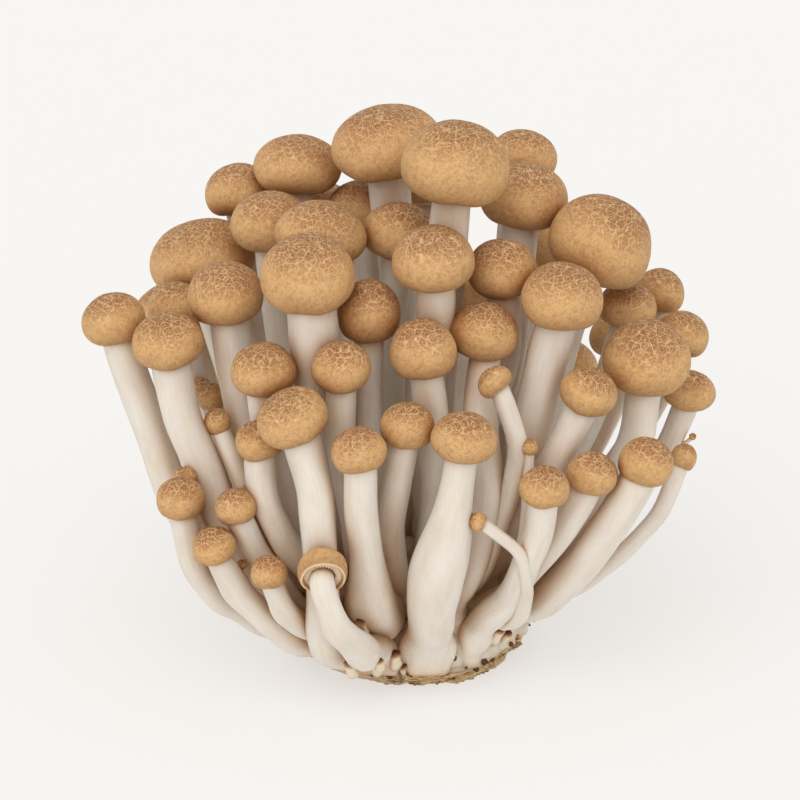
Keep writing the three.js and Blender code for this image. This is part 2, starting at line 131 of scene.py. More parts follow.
class Shader:
    """A node tree with short ways to add the few kinds of node that the materials use."""

    def __init__(self, name, roughness, specular=0.4, flesh=0.0, depth=0.001):
        self.material = bpy.data.materials.new(name)
        self.material.use_nodes = True
        self.tree = self.material.node_tree
        self.surface = self.tree.nodes["Principled BSDF"]
        self.surface.inputs["Roughness"].default_value = roughness
        self.surface.inputs["Specular IOR Level"].default_value = specular
        self.surface.inputs["Subsurface Weight"].default_value = flesh
        self.surface.inputs["Subsurface Radius"].default_value = (1.0, 0.55, 0.3)
        self.surface.inputs["Subsurface Scale"].default_value = depth

    def node(self, kind, **settings):
        made = self.tree.nodes.new(kind)
        for key, value in settings.items():
            setattr(made, key, value)
        return made

    def link(self, source, target):
        self.tree.links.new(source, target)

    def attribute(self, name, output="Fac"):
        made = self.node("ShaderNodeAttribute", attribute_name=name)
        return made.outputs[output]

    def scaled(self, vector, scale):
        made = self.node("ShaderNodeVectorMath", operation="MULTIPLY")
        self.link(vector, made.inputs[0])
        made.inputs[1].default_value = scale
        return made.outputs["Vector"]

    def noise(self, vector, scale, detail=4.0, roughness=0.55, distortion=0.0):
        made = self.node("ShaderNodeTexNoise")
        self.link(vector, made.inputs["Vector"])
        made.inputs["Scale"].default_value = scale
        made.inputs["Detail"].default_value = detail
        made.inputs["Roughness"].default_value = roughness
        made.inputs["Distortion"].default_value = distortion
        return made.outputs["Fac"]

    def warped(self, vector, scale, amount):
        """The vector, shifted by noise, so that a pattern on it isn't regular."""
        shift = self.node("ShaderNodeTexNoise")
        self.link(vector, shift.inputs["Vector"])
        shift.inputs["Scale"].default_value = scale
        shift.inputs["Detail"].default_value = 3.0
        centred = self.node("ShaderNodeVectorMath", operation="SUBTRACT")
        self.link(shift.outputs["Color"], centred.inputs[0])
        centred.inputs[1].default_value = (0.5, 0.5, 0.5)
        moved = self.node("ShaderNodeVectorMath", operation="MULTIPLY_ADD")
        self.link(centred.outputs["Vector"], moved.inputs[0])
        moved.inputs[1].default_value = (amount, amount, amount)
        self.link(vector, moved.inputs[2])
        return moved.outputs["Vector"]

    def cracks(self, vector, scale):
        """The distance to the nearest border between cells."""
        made = self.node("ShaderNodeTexVoronoi", feature="DISTANCE_TO_EDGE")
        self.link(vector, made.inputs["Vector"])
        made.inputs["Scale"].default_value = scale
        return made.outputs["Distance"]

    def ranged(self, value, low, high, to_low=0.0, to_high=1.0):
        made = self.node("ShaderNodeMapRange", interpolation_type="SMOOTHSTEP")
        self.link(value, made.inputs["Value"])
        made.inputs["From Min"].default_value = low
        made.inputs["From Max"].default_value = high
        made.inputs["To Min"].default_value = to_low
        made.inputs["To Max"].default_value = to_high
        return made.outputs["Result"]

    def math(self, operation, a, b):
        made = self.node("ShaderNodeMath", operation=operation)
        for socket, value in zip(made.inputs, (a, b)):
            if isinstance(value, (int, float)):
                socket.default_value = value
            else:
                self.link(value, socket)
        return made.outputs["Value"]

    def ramp(self, value, stops):
        made = self.node("ShaderNodeValToRGB")
        self.link(value, made.inputs["Fac"])
        elements = made.color_ramp.elements
        while len(elements) < len(stops):
            elements.new(0.5)
        for element, (place, colour) in zip(elements, stops):
            element.position = place
            element.color = (*colour, 1.0)
        return made.outputs["Color"]

    def blend(self, factor, a, b, mode="MIX"):
        made = self.node("ShaderNodeMix", data_type="RGBA", blend_type=mode)
        sockets = (made.inputs["Factor"], made.inputs[6], made.inputs[7])
        for socket, value in zip(sockets, (factor, a, b)):
            if isinstance(value, tuple):
                socket.default_value = (*value, 1.0)
            elif isinstance(value, (int, float)):
                socket.default_value = value
            else:
                self.link(value, socket)
        return made.outputs[2]

    def bumped(self, height, depth, strength=1.0, under=None):
        """A bump whose height of 1 is that many metres deep."""
        made = self.node("ShaderNodeBump")
        made.inputs["Strength"].default_value = strength
        made.inputs["Distance"].default_value = depth
        self.link(height, made.inputs["Height"])
        if under is not None:
            self.link(under, made.inputs["Normal"])
        return made.outputs["Normal"]

    def with_painted_shade(self, colour, reach, shade_colour, strength):
        """The colour, multiplied by a shade colour where the surface is hemmed in by others:
        painted shade in the gaps and hollows between pieces.
        """
        open_air = self.node("ShaderNodeAmbientOcclusion", samples=8)
        open_air.inputs["Distance"].default_value = reach
        hemmed = self.ranged(open_air.outputs["AO"], 0.1, 0.95, strength, 0.0)
        return self.blend(hemmed, colour, shade_colour, "MULTIPLY")

    def finish(self, colour, normal=None, roughness=None):
        self.link(colour, self.surface.inputs["Base Color"])
        if normal is not None:
            self.link(normal, self.surface.inputs["Normal"])
        if roughness is not None:
            self.link(roughness, self.surface.inputs["Roughness"])
        return self.material


def cap_skin():
    """Satin skin: brown and crazed with pale lines at the crown, speckled tan below, a pale rim;
    painted shade darkens the lower side and where other pieces hem it in.
    """
    s = Shader("cap_skin", roughness=0.6, specular=0.15, flesh=0.06, depth=0.0007)
    place = s.attribute("grown", "Vector")
    ripe = s.attribute("ripe")
    patchy = s.noise(place, 0.2, 3.0)
    height = s.math("ADD", ripe, s.math("MULTIPLY", s.math("SUBTRACT", patchy, 0.5), 0.3))
    # The two lowest stops, on the lower side below the widest ring, are darker as painted shade
    # where that side turns down away from the light; the dark crown is the skin's own colour.
    skin = s.ramp(
        height,
        [
            (0.0, (0.44, 0.255, 0.115)),
            (0.16, (0.50, 0.295, 0.13)),
            (0.34, (0.64, 0.385, 0.17)),
            (0.47, (0.70, 0.42, 0.175)),
            (0.6, (0.50, 0.245, 0.09)),
            (0.74, (0.31, 0.125, 0.042)),
            (1.0, (0.23, 0.085, 0.028)),
        ],
    )
    mottle = s.noise(place, 1.1, 5.0, 0.65, 0.6)
    skin = s.blend(s.ranged(mottle, 0.42, 0.66, 0.0, 0.5), skin, (0.36, 0.155, 0.055))
    flecks = s.ranged(s.noise(place, 2.6, 4.0, 0.7), 0.5, 0.64)
    skin = s.blend(s.math("MULTIPLY", flecks, 0.4), skin, (0.38, 0.19, 0.075))
    wide = s.cracks(s.warped(place, 0.8, 0.8), 0.7)
    fine = s.cracks(s.warped(place, 1.8, 0.5), 1.6)
    crown = s.ranged(height, 0.36, 0.6)
    lines = s.math("MULTIPLY", s.ranged(wide, 0.0, 0.1, 1.0, 0.0), crown)
    reach = s.ranged(height, 0.22, 0.6, 0.1, 0.75)
    hairs = s.math("MULTIPLY", s.ranged(fine, 0.0, 0.13, 1.0, 0.0), reach)
    net = s.math("MAXIMUM", lines, hairs)
    broken = s.ranged(s.noise(place, 1.6, 3.0), 0.32, 0.6, 0.25, 0.95)
    net = s.math("MULTIPLY", net, broken)
    skin = s.blend(net, skin, (0.80, 0.54, 0.29))
    speckle = s.ranged(s.noise(place, 4.5, 3.0, 0.7), 0.48, 0.68)
    skin = s.blend(s.math("MULTIPLY", speckle, 0.3), skin, (0.78, 0.53, 0.28))
    skin = s.blend(s.ranged(ripe, 0.06, 0.1, 0.8, 0.0), skin, (0.84, 0.64, 0.42))
    # Painted shade: the skin darkens to a warm brown where other caps and stems hem it in.
    skin = s.with_painted_shade(skin, 0.007, (0.62, 0.42, 0.28), 0.9)
    normal = s.bumped(net, 0.00012, 0.6)
    normal = s.bumped(s.noise(place, 3.0, 5.0, 0.6), 0.00018, 0.5, normal)
    rough = s.ranged(mottle, 0.3, 0.8, 0.5, 0.7)
    return s.finish(skin, normal, rough)


def stem_flesh():
    """Creamy white and smooth, with faint fibres along the stem, warmer towards the foot."""
    s = Shader("stem_flesh", roughness=0.55, specular=0.3, flesh=0.35, depth=0.0016)
    place = s.attribute("grown", "Vector")
    ripe = s.attribute("ripe")
    fibres = s.noise(s.scaled(place, (3.2, 3.2, 0.16)), 1.0, 5.0, 0.6)
    broad = s.noise(s.scaled(place, (0.35, 0.35, 0.12)), 1.0, 3.0)
    flesh = s.ramp(
        broad,
        [
            (0.25, (0.72, 0.64, 0.54)),
            (0.5, (0.78, 0.72, 0.64)),
            (0.75, (0.81, 0.77, 0.70)),
        ],
    )
    flesh = s.blend(s.ranged(fibres, 0.45, 0.75, 0.0, 0.22), flesh, (0.62, 0.50, 0.37))
    flesh = s.blend(s.ranged(ripe, 0.0, 0.12, 0.3, 0.0), flesh, (0.68, 0.56, 0.41))
    # Painted shade: the stems darken to warm brown in the gaps between them and under the caps.
    flesh = s.with_painted_shade(flesh, 0.009, (0.72, 0.51, 0.34), 1.0)
    normal = s.bumped(fibres, 0.00015, 0.55)
    normal = s.bumped(s.noise(place, 1.1, 4.0), 0.0003, 0.3, normal)
    rough = s.ranged(fibres, 0.3, 0.7, 0.48, 0.64)
    return s.finish(flesh, normal, rough)


def gill_flesh():
    s = Shader("gill_flesh", roughness=0.7, specular=0.2, flesh=0.2, depth=0.0008)
    place = s.attribute("grown", "Vector")
    tone = s.noise(place, 0.8, 3.0)
    flesh = s.ramp(tone, [(0.3, (0.66, 0.50, 0.34)), (0.7, (0.82, 0.70, 0.53))])
    normal = s.bumped(s.noise(place, 4.0, 3.0), 0.0001, 0.4)
    return s.finish(flesh, normal)


def mycelium():
    """Cream felt, as pale as the stems, turning ochre towards the underside, with dark flecks and
    painted shade where the feet hem it in.
    """
    s = Shader("mycelium", roughness=0.8, specular=0.2, flesh=0.2, depth=0.001)
    place = s.attribute("grown", "Vector")
    low = s.ranged(s.attribute("ripe"), 0.0, 0.45, 0.4, 0.0)
    patches = s.math("SUBTRACT", s.noise(place, 0.2, 4.0, 0.6, 0.5), low)
    felt = s.ramp(
        patches,
        [
            (0.0, (0.48, 0.35, 0.19)),
            (0.2, (0.66, 0.53, 0.34)),
            (0.42, (0.72, 0.65, 0.52)),
            (0.65, (0.79, 0.73, 0.63)),
        ],
    )
    grain = s.noise(place, 2.2, 5.0, 0.7)
    flecks = s.ranged(s.noise(place, 1.1, 4.0, 0.75, 0.4), 0.68, 0.74)
    felt = s.blend(flecks, felt, (0.20, 0.11, 0.05))
    # Painted shade: the felt darkens where the feet hem it in.
    felt = s.with_painted_shade(felt, 0.008, (0.46, 0.30, 0.18), 1.0)
    return s.finish(felt, s.bumped(grain, 0.0004, 0.7))


def substrate():
    """The brown crust and crumbs of what the cluster grew on."""
    s = Shader("substrate", roughness=0.9, specular=0.15)
    place = s.attribute("grown", "Vector")
    layers = s.noise(s.scaled(place, (0.25, 0.25, 1.6)), 1.0, 5.0, 0.65, 0.6)
    crust = s.ramp(
        layers,
        [
            (0.34, (0.10, 0.045, 0.018)),
            (0.42, (0.42, 0.24, 0.10)),
            (0.52, (0.66, 0.46, 0.24)),
            (0.68, (0.80, 0.64, 0.41)),
        ],
    )
    crust = s.blend(s.attribute("ripe"), crust, (0.66, 0.54, 0.37))
    normal = s.bumped(s.noise(place, 1.8, 5.0, 0.7), 0.0005, 0.8)
    return s.finish(crust, normal)


def pin_flesh():
    """A cream stalk that turns into a brown bud with a dark tip."""
    s = Shader("pin_flesh", roughness=0.6, specular=0.25, flesh=0.1)
    place = s.attribute("grown", "Vector")
    ripe = s.attribute("ripe")
    blotch = s.math("MULTIPLY", s.math("SUBTRACT", s.noise(place, 0.9, 4.0), 0.5), 0.35)
    bud = s.ramp(
        s.math("ADD", ripe, blotch),
        [
            (0.3, (0.80, 0.69, 0.53)),
            (0.46, (0.52, 0.32, 0.16)),
            (0.6, (0.28, 0.13, 0.05)),
            (0.8, (0.09, 0.035, 0.014)),
        ],
    )
    # Painted shade: the pins darken where the feet and felt hem them in.
    bud = s.with_painted_shade(bud, 0.006, (0.55, 0.38, 0.25), 0.8)
    return s.finish(bud, s.bumped(s.noise(place, 2.5, 4.0), 0.0002, 0.6))


def crumb_dark():
    s = Shader("crumb_dark", roughness=0.9, specular=0.15)
    place = s.attribute("grown", "Vector")
    tone = s.noise(place, 1.4, 4.0)
    crumb = s.ramp(tone, [(0.3, (0.05, 0.022, 0.010)), (0.7, (0.22, 0.11, 0.045))])
    return s.finish(crumb, s.bumped(s.noise(place, 3.0, 4.0), 0.0004, 0.8))


CAP_SKIN = cap_skin()
STEM_FLESH = stem_flesh()
GILL_FLESH = gill_flesh()
MYCELIUM = mycelium()
SUBSTRATE = substrate()
CRUMB_DARK = crumb_dark()
PIN_FLESH = pin_flesh()

# --- The lump's surface ---------------------------------------------------------------------------
# A way round the lump is a turn, and a height on it is a tilt, both in radians from its heart.
HEART_AT = 0.42  # height of the lump's heart, as a share of its height
PAST_PIN = 0.16  # how far to each side to look, so as to see past a pin
EDGE_STEPS = 120
LUMP_PROUD = 2.6 * MM  # how far the felt fills up between the feet
FULL_OVER = 0.5  # and within which tilt from the lump's edge it gets there
FOOT_REACH = 0.55  # how far a foot carries on down the lump's side at most
FOOT_CLEAR = 0.2  # and how far above the lump's edge it ends
FOOT_DEEP = 0.3  # how deep its line lies in the lump, as a share of the stem's radius
FOOT_PROUD = 1.5 * MM  # how far it stands out of the felt at most
FOOT_FULL_OVER = 0.45  # and within which tilt from the lump's edge it may


class Lump:
    """The CAD lump's surface, as the distance from its heart in any direction."""

    def __init__(self):
        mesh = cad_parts["base"].data
        points = [v.co.copy() for v in mesh.vertices]
        self.tree = BVHTree.FromPolygons(points, [tuple(p.vertices) for p in mesh.polygons])
        low, high = (Vector(c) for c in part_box("base"))
        middle = (low + high) / 2
        self.heart = Vector((middle.x, middle.y, mix(low.z, high.z, HEART_AT)))
        self.edges = [self.corner(k / EDGE_STEPS * math.tau) for k in range(EDGE_STEPS)]

    def reach(self, turn, tilt):
        """Past the pins, which stand out of it, by taking the least of three directions."""
        found = []
        for nudge in (-PAST_PIN, 0.0, PAST_PIN):
            hit = self.tree.ray_cast(self.heart, way_to(turn + nudge, tilt))
            found.append(hit[3])
        return min(found)

    def point(self, turn, tilt, proud=0.0):
        return self.heart + way_to(turn, tilt) * (self.reach(turn, tilt) + proud)

    def felt(self, turn, tilt):
        """The felt's surface: full between the feet, and down to the CAD lump at the underside."""
        full = min(max((tilt - self.edge(turn)) / FULL_OVER, 0.0), 1.0)
        return self.point(turn, tilt, LUMP_PROUD * full * (2 - full))

    def corner(self, turn):
        """The tilt at which the side meets the underside."""
        tilts = [-math.pi / 2 * i / 48 for i in range(4, 40)]
        return max(tilts, key=lambda t: self.reach(turn, t) * (math.cos(t) - math.sin(t)))

    def edge(self, turn):
        at = turn / math.tau * EDGE_STEPS
        step = math.floor(at)
        before = self.edges[step % EDGE_STEPS]
        after = self.edges[(step + 1) % EDGE_STEPS]
        return mix(before, after, at - step)

    def facing(self, point):
        away = point - self.heart
        return math.atan2(away.y, away.x), math.asin(away.z / away.length), away

    def foot(self, start, radius):
        """Points that carry a stem's line on from where it meets the lump, down the side."""
        turn, tilt, _ = self.facing(start)
        low = max(self.edge(turn) + FOOT_CLEAR, tilt - FOOT_REACH)
        low = min(low, tilt - 0.1)
        return [self.point(turn, mix(tilt, low, i / 4), -FOOT_DEEP * radius) for i in (4, 3, 2, 1)]

    def drawn_in(self, point, share):
        """The point, brought nearer to the felt if it stands further out than a foot may."""
        turn, tilt, away = self.facing(point)
        proud = FOOT_PROUD * min(max((tilt - self.edge(turn)) / FOOT_FULL_OVER, 0.15), 1)
        most = (self.felt(turn, tilt) - self.heart).length + proud
        if away.length > most:
            point = self.heart + away * mix(1, most / away.length, share)
        return Vector((point.x, point.y, max(point.z, 0.1 * MM)))


LUMP = Lump()

# --- Reading a mushroom off its CAD solid ---------------------------------------------------------
CROWN_RING = (0.4, 0.95)  # a CAD cap's highest ring: shares of its radius and of its height
SAME_POINT = 1e-6
STEP_DOWN = 1.6 * MM  # between two slices of a stem
LOOK_AROUND = 1.7  # how far from a slice's middle its points may be, against its radius
LONGEST = 160  # slices
CROWN_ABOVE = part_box("base")[1][2]  # every crown is higher than the lump
CUT_SHORT = 0.6  # a slice this much smaller than the last few is where the lump has cut the foot


def corners_of(mesh):
    """The mesh's corner points, each once, and its edges as pairs of their numbers."""
    number = {}
    points = []
    same = []
    for vertex in mesh.vertices:
        key = tuple(round(c / SAME_POINT) for c in vertex.co)
        if key not in number:
            number[key] = len(points)
            points.append(vertex.co.copy())
        same.append(number[key])
    pairs = {tuple(sorted(same[v] for v in edge.vertices)) for edge in mesh.edges}
    return points, sorted(pair for pair in pairs if pair[0] != pair[1])


def crown_of(points, pairs):
    """The crown's middle point and the ring round it, which is the evenest fan of edges."""
    fans = {}
    for a, b in pairs:
        fans.setdefault(a, []).append(b)
        fans.setdefault(b, []).append(a)

    def unevenness(middle):
        spokes = [(points[n] - points[middle]).length for n in fans[middle]]
        return (max(spokes) - min(spokes)) / max(spokes)

    far = [n for n in fans if len(fans[n]) > 6 and points[n].z > CROWN_ABOVE]
    middle = min(far, key=unevenness)
    return points[middle], [points[n] for n in fans[middle]]


def slice_of(edges, point, axis, within):
    """The middle and the radius of where the solid's edges cross a plane, or None."""
    hits = []
    for a, b in edges:
        low = (a - point).dot(axis)
        high = (b - point).dot(axis)
        if low * high < 0:
            hit = a.lerp(b, low / (low - high))
            if (hit - point).length < within:
                hits.append(hit)
    if len(hits) < 5:
        return None
    middle = sum(hits, Vector()) / len(hits)
    spread = sorted((h - middle).length for h in hits)
    return middle, spread[int(len(spread) * 0.7)]


def traced(node):
    """A CAD mushroom's cap, and its stem's centreline and radii from foot to neck."""
    points, pairs = corners_of(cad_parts[node].data)
    apex, ring = crown_of(points, pairs)
    middle = sum(ring, Vector()) / len(ring)
    axis = (apex - middle).normalized()
    tall = (apex - middle).length / (1 - CROWN_RING[1])
    radius = sum((p - middle).length for p in ring) / len(ring) / CROWN_RING[0]
    rim = apex - axis * tall
    edges = [(points[a], points[b]) for a, b in pairs]
    line = []
    radii = []
    homewards = (Vector((rim.x, rim.y, 0)) / 2 - rim).normalized()
    for turned in (0, 0.3, 0.6, 0.9):  # a tipped cap's stem turns down at once
        way = (-axis).lerp(homewards, turned).normalized()
        at = rim + way * (0.5 + 3 * turned) * MM
        if slice_of(edges, at, way, radius):
            break
    within = radius
    while len(line) < LONGEST:
        cut = slice_of(edges, at, way, within)
        if cut is None:
            break
        typical = sum(radii[-4:]) / len(radii[-4:]) if radii else cut[1]
        if cut[1] < CUT_SHORT * typical:
            break
        line.append(cut[0])
        radii.append(min(cut[1], typical * 1.1))
        if len(line) > 1:
            way = (way * 0.5 + (line[-1] - line[-2]).normalized() * 0.5).normalized()
        within = LOOK_AROUND * typical
        at = line[-1] + way * min(STEP_DOWN, typical / 2)
    stem = sorted(radii[:6])[2]
    radii[:6] = [min(r, stem * 1.1) for r in radii[:6]]
    return {
        "line": line[::-1],
        "radii": radii[::-1],
        "axis": axis,
        "rim": rim,
        "wide": 2 * radius,
        "tall": tall,
        "stem": stem,
        "foot": LUMP.foot(line[-1], radii[-1]),
        "nodes": [node],
    }


# --- Growing a mushroom -------------------------------------------------------------------------
CAP_AROUND = 56
CROWN_RINGS = 16
ROLL_RINGS = 9
WIDEST_AT = 0.41  # height of the cap's widest ring, as a share of its height
RIM_AT = 0.06  # and of its rim
ROLL_IN = 0.44  # how far the rim rolls in at most, as a share of the radius
LIP_CLEAR = 0.07  # and how near it comes to the stem
RIPE_WIDEST = 0.36  # ripe runs from 1 at the crown through this at the widest ring to 0 at the rim
# Inside the lip: how far inwards and up, as shares of the radius and of the height, and how ripe.
RIM_CURL = ((0.025, 0, -0.03), (0.045, 0.03, -0.06), (0.05, 0.08, -0.08), (0.08, 0.14, -0.1))
BLADE_EVERY = 0.62 * MM  # between two gills
STEM_AROUND = 28
STEM_RINGS = 34
STEM_SMOOTHING = 3
FOOT_MELT = 9 * MM  # how far up the stem a foot is drawn in to the lump
FOOT_FLARE = 0.38  # how much thicker a foot is
FLARE_UP = 5 * MM  # and how far up
WANDER = 0.24  # how far a stem strays from its line, as a share of its radius
WANDER_MOST = 1.3 * MM
SWELLS_BY = (0.1, 0.34)  # a stem swells somewhere: the least and the most
SWELLS_AT = (0.12, 0.42)  # and how far up, as a share of its length
SWELL_SPAN = 0.18


def cap_outline(lip):
    """The cap's outline, crown first: shares of its radius and of its height, and how ripe."""
    outline = []
    for i in range(1, CROWN_RINGS + 1):
        turn = i / CROWN_RINGS * math.pi / 2
        ripe = mix(1, RIPE_WIDEST, i / CROWN_RINGS)
        outline.append((math.sin(turn), WIDEST_AT + (1 - WIDEST_AT) * math.cos(turn), ripe))
    for i in range(1, ROLL_RINGS + 1):
        turn = i / ROLL_RINGS * math.pi / 2
        out = lip + (1 - lip) * math.cos(turn)
        ripe = mix(RIPE_WIDEST, 0, i / ROLL_RINGS)
        outline.append((out, WIDEST_AT - (WIDEST_AT - RIM_AT) * math.sin(turn), ripe))
    for inwards, up, ripe in RIM_CURL:
        outline.append((lip - inwards, RIM_AT + up, ripe))
    outline += [(lip * 0.7, RIM_AT + 0.18, -0.1), (lip * 0.3, RIM_AT + 0.2, -0.1)]
    return outline


OPEN_LIPS = {"low_mushroom_6": 0.84}  # caps that stand open further than most
SLIM_NECKS = {"low_mushroom_6": 0.78}  # stems that narrow towards the cap, and how far


def lip_of(m):
    """Where the rolled rim ends, as a share of the cap's radius: young caps close on the stem."""
    for node in m["nodes"]:
        if node in OPEN_LIPS:
            return OPEN_LIPS[node]
    return min(max(1 - ROLL_IN, 2 * m["stem"] / m["wide"] + LIP_CLEAR), 0.9)


def build_cap(name, m, seed):
    side, across = frame_of(m["axis"])
    radius = m["wide"] / 2
    tall = m["tall"]
    skin = Skin()
    squeeze = 0.035 * noise.noise(Vector((seed, 3.1, 0)))

    def place(out, up, turn):
        way = Vector((math.cos(turn), math.sin(turn), 0))
        lumps = noise.noise(Vector((way.x * 0.9, way.y * 0.9, up * 1.3)) + Vector((seed, 0, 0)))
        dents = noise.noise(Vector((way.x * 2.2, way.y * 2.2, up * 2.0)) + Vector((0, seed, 0)))
        swell = 1 + 0.045 * lumps + 0.018 * dents + squeeze * math.cos(2 * (turn - seed))
        droop = 0.06 * noise.noise(Vector((way.x * 1.4, way.y * 1.4, seed))) * out ** 2
        x = out * radius * swell * way.x
        y = out * radius * swell * way.y
        z = tall * (up + droop)
        point = m["rim"] + side * x + across * y + m["axis"] * z
        return point, (x / MM + seed * 17, y / MM, z / MM + seed * 5)

    tip = skin.add(*place(0, 1, 0), 1.0)
    rings = []
    for out, up, ripe in cap_outline(lip_of(m)):
        turns = (k / CAP_AROUND * math.tau for k in range(CAP_AROUND))
        rings.append([skin.add(*place(out, up, turn), ripe) for turn in turns])
    skin.fan(tip, rings[0])
    for ring, after in zip(rings, rings[1:]):
        skin.bridge(after, ring)
    skin.fan(skin.add(*place(0, RIM_AT + 0.2, 0), -0.1), rings[-1], outward=False)
    skin.piece(name + "_cap", CAP_SKIN, "cap_skin", m["nodes"])


def build_gills(name, m, seed):
    """Thin blades from the stem out to the rolled rim, as one pleated sheet with a back to it."""
    side, across = frame_of(m["axis"])
    radius = m["wide"] / 2
    tall = m["tall"]
    outer = radius * (lip_of(m) - 0.03)
    inner = min(m["stem"] * 0.9, outer * 0.8)
    blades = max(int(math.tau * (inner + outer) / 2 / BLADE_EVERY), 18)
    skin = Skin()
    rings = []
    for step in range(5):
        out = mix(inner, outer, step / 4)
        up = RIM_AT + mix(0.09, 0.11, step / 4) - 0.03 * math.sin(step / 4 * math.pi)
        ring = []
        for k in range(blades * 2):
            turn = k / (blades * 2) * math.tau
            fold = (0.05 if k % 2 else 0.0) * (1 - 0.4 * step / 4)
            z = tall * (up + fold)
            x = out * math.cos(turn)
            y = out * math.sin(turn)
            point = m["rim"] + side * x + across * y + m["axis"] * z
            ring.append(skin.add(point, (x / MM + seed * 17, y / MM, z / MM)))
        rings.append(ring)
    for ring, after in zip(rings, rings[1:]):
        skin.bridge(ring, after)
    back = []
    for ring_radius in (outer, inner):
        ring = []
        for k in range(blades * 2):
            turn = k / (blades * 2) * math.tau
            x = ring_radius * math.cos(turn)
            y = ring_radius * math.sin(turn)
            z = tall * 0.27
            point = m["rim"] + side * x + across * y + m["axis"] * z
            ring.append(skin.add(point, (x / MM + seed * 17, y / MM, z / MM)))
        back.append(ring)
    skin.bridge(rings[-1], back[0])
    skin.bridge(back[0], back[1])
    skin.bridge(back[1], rings[0])
    skin.faces = [tuple(reversed(f)) for f in skin.faces]
    skin.piece(name + "_gills", GILL_FLESH, "gills", m["nodes"], smooth=False)


def smoothed(points, rounds):
    """The points or numbers, each drawn towards its neighbours, with both ends kept."""
    for _ in range(rounds):
        inner = zip(points, points[1:], points[2:])
        points = [points[0], *((a + b * 2 + c) / 4 for a, b, c in inner), points[-1]]
    return points


def respaced(line, radii, count):
    """The same line and radii at an even spacing."""
    gone = [0.0]
    for a, b in zip(line, line[1:]):
        gone.append(gone[-1] + (b - a).length)
    points = []
    sizes = []
    at = 0
    for i in range(count):
        want = gone[-1] * i / (count - 1)
        while at < len(line) - 2 and gone[at + 1] < want:
            at += 1
        t = (want - gone[at]) / (gone[at + 1] - gone[at])
        points.append(line[at].lerp(line[at + 1], t))
        sizes.append(mix(radii[at], radii[at + 1], t))
    return points, sizes


# Stems that swell in a way of their own: by how much, and how far up.
SWOLLEN = {
    "front_mushroom_10": (0.5, 0.54),
    "front_mushroom_8": (0.3, 0.36),
    "front_mushroom_4": (0.25, 0.3),
    "low_mushroom_6": (0.12, 0.45),
}


def length_of(line):
    return sum((b - a).length for a, b in zip(line, line[1:]))


def stem_route(m):
    """The stem's line and radii from the end of its foot up into the cap."""
    end = m["rim"] + m["axis"] * m["tall"] * 0.3
    line = [*m["foot"], *m["line"], end]
    radii = [*[m["radii"][0]] * len(m["foot"]), *m["radii"], m["stem"] * 0.95]
    line, radii = respaced(line, radii, STEM_RINGS)
    return smoothed(line, STEM_SMOOTHING), smoothed(radii, STEM_SMOOTHING)


stem_walls = ([], [])  # every stem's points and faces so far


def build_stem(name, m, seed):
    line, radii = stem_route(m)
    length = length_of(line)
    buried = length_of([*m["foot"], m["line"][0]])
    wander = min(WANDER_MOST, WANDER * m["stem"])
    flare, flare_at = SWOLLEN.get(name, (RNG.uniform(*SWELLS_BY), RNG.uniform(*SWELLS_AT)))
    skin = Skin()
    side = frame_of((line[1] - line[0]).normalized())[0]
    gone = 0.0
    rings = []
    for i, middle in enumerate(line):
        before = line[max(i - 1, 0)]
        after = line[min(i + 1, len(line) - 1)]
        axis = (after - before).normalized()
        side = (side - axis * side.dot(axis)).normalized()
        across = axis.cross(side)
        if i:
            gone += (middle - line[i - 1]).length
        share = gone / length
        hush = math.sin(math.pi * share)
        shift_a = noise.noise(Vector((share * 2.6, seed, 1.7))) * wander * hush * 2
        shift_b = noise.noise(Vector((share * 2.6, seed, 8.3))) * wander * hush * 2
        centre = middle + side * shift_a + across * shift_b
        swell = 1 + flare * math.exp(-(((share - flare_at) / SWELL_SPAN) ** 2))
        swell *= 1 + 0.12 * noise.noise(Vector((share * 4.0, seed, 4.4)))
        neck = mix(1, SLIM_NECKS.get(name, 1), max(share - 0.5, 0) * 2)
        if m["foot"]:
            swell += FOOT_FLARE * math.exp(-((max(gone - buried, 0) / FLARE_UP) ** 2))
            drawn = min(max(1 - (gone - buried) / FOOT_MELT, 0), 1)
        ring = []
        for k in range(STEM_AROUND):
            turn = k / STEM_AROUND * math.tau
            way = Vector((math.cos(turn), math.sin(turn), 0))
            lobes = noise.noise(Vector((way.x * 0.9, way.y * 0.9, share * 3 + seed)))
            ridges = noise.noise(Vector((way.x * 3.5, way.y * 3.5, share * 1.5 + seed * 2)))
            r = radii[i] * swell * neck * (1 + 0.11 * lobes + 0.03 * ridges)
            point = centre + side * (r * way.x) + across * (r * way.y)
            if m["foot"]:
                point = LUMP.drawn_in(point, drawn * drawn * (3 - 2 * drawn))
            grown = (r * way.x / MM + seed * 13, r * way.y / MM, gone / MM + seed * 7)
            ring.append(skin.add(point, grown, share))
        rings.append(ring)
    for ring, after in zip(rings, rings[1:]):
        skin.bridge(ring, after)
    toe = skin.add(line[0], (seed * 13, 0, seed * 7), 0.0)
    head = skin.add(line[-1], (seed * 13, 0, length / MM + seed * 7), 1.0)
    skin.fan(toe, rings[0], outward=False)
    skin.fan(head, rings[-1])
    first = len(stem_walls[0])
    stem_walls[0].extend(skin.points)
    stem_walls[1].extend(tuple(first + corner for corner in face) for face in skin.faces)
    skin.piece(name + "_stem", STEM_FLESH, "mushroom_flesh", m["nodes"])


def build_mushroom(name, m, seed):
    build_stem(name, m, seed)
    build_cap(name, m, seed)
    build_gills(name, m, seed)


def arc(start, over, end, count):
    """Points on a curve from start to end that is drawn towards a third point."""
    shares = (i / (count - 1) for i in range(count))
    return [start.lerp(over, t).lerp(over.lerp(end, t), t) for t in shares]


